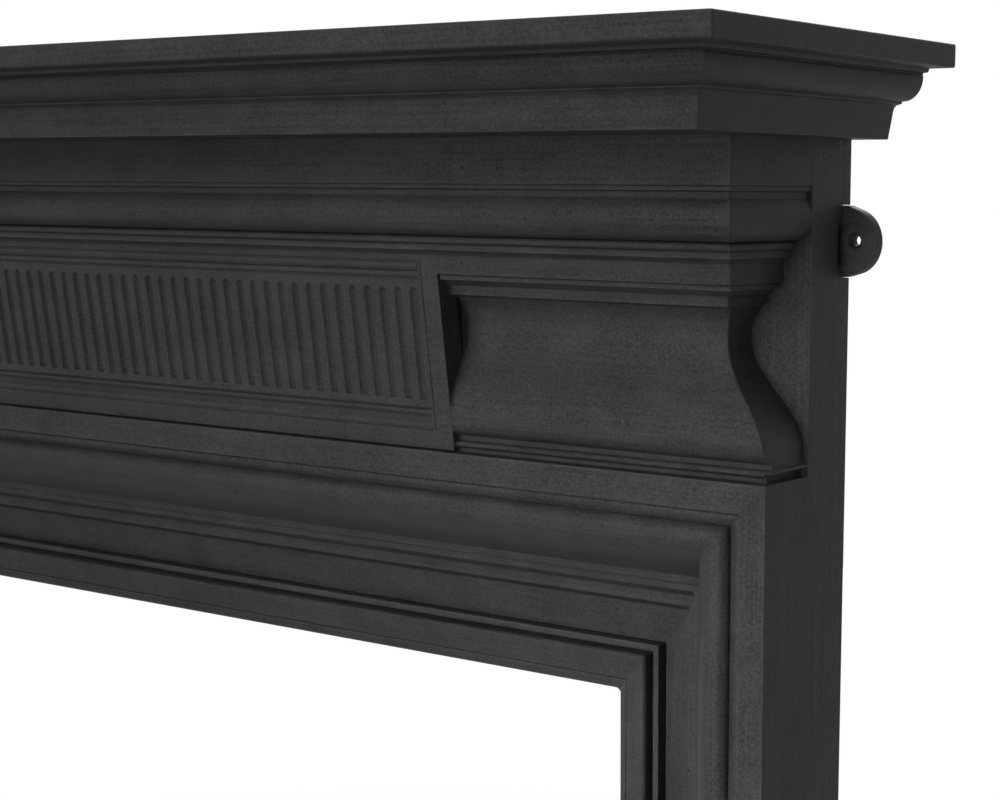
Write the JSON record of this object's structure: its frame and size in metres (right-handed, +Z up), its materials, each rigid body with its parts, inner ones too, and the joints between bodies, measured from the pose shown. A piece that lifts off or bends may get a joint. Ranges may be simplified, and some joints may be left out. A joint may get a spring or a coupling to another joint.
{
  "type": "cast iron fireplace surround",
  "caption": "Cast iron fireplace surround with a moulded shelf, deep frieze with a fluted tablet, mitred moulded legs and header, plinths and wall lugs round an open hearth.",
  "frame": {"origin": "centre of the bounding box in plan, on the hearth the plinths stand on", "axes": "+X along the shelf to the viewer's right, +Y from the room to the wall, +Z up; the front faces -Y"},
  "size_m": [1.38, 0.247, 1.339],
  "materials": {
    "shelf_iron": "matt black stove finish over cast iron, faint brushed grain along the mouldings",
    "frieze_iron": "matt black stove finish over cast iron, soft sheen on the torus",
    "tablet_iron": "matt black stove finish over fine sand-cast iron",
    "header_iron": "matt black stove finish over cast iron",
    "leg_iron": "matt black stove finish over cast iron",
    "plinth_iron": "matt black stove finish over cast iron",
    "frame_iron": "matt black stove finish over cast iron",
    "lug_iron": "matt black stove finish over rough cast iron",
    "cleat_steel": "dull blackened steel plate",
    "fixing_steel": "dull zinc plated steel, darkened"
  },
  "bodies": {
    "root": {"mantel_shelf": "shelf_iron", "frieze_casting": "frieze_iron", "fluted_tablet": "tablet_iron", "header_casting": "header_iron", "left_leg": "leg_iron", "right_leg": "leg_iron", "left_plinth": "plinth_iron", "right_plinth": "plinth_iron", "frame_head": "frame_iron", "frame_left": "frame_iron", "frame_right": "frame_iron", "lug_upper_left": "lug_iron", "lug_upper_right": "lug_iron", "lug_lower_left": "lug_iron", "lug_lower_right": "lug_iron", "cleat_left": "cleat_steel", "cleat_right": "cleat_steel", "shelf_bolts": "fixing_steel", "shelf_nuts": "fixing_steel", "frieze_bolts": "fixing_steel", "frieze_nuts": "fixing_steel", "plinth_bolts": "fixing_steel", "plinth_nuts": "fixing_steel", "cleat_bolts": "fixing_steel", "tablet_screws": "fixing_steel", "frame_screws": "fixing_steel", "lug_screws": "fixing_steel"}
  },
  "joints": []
}
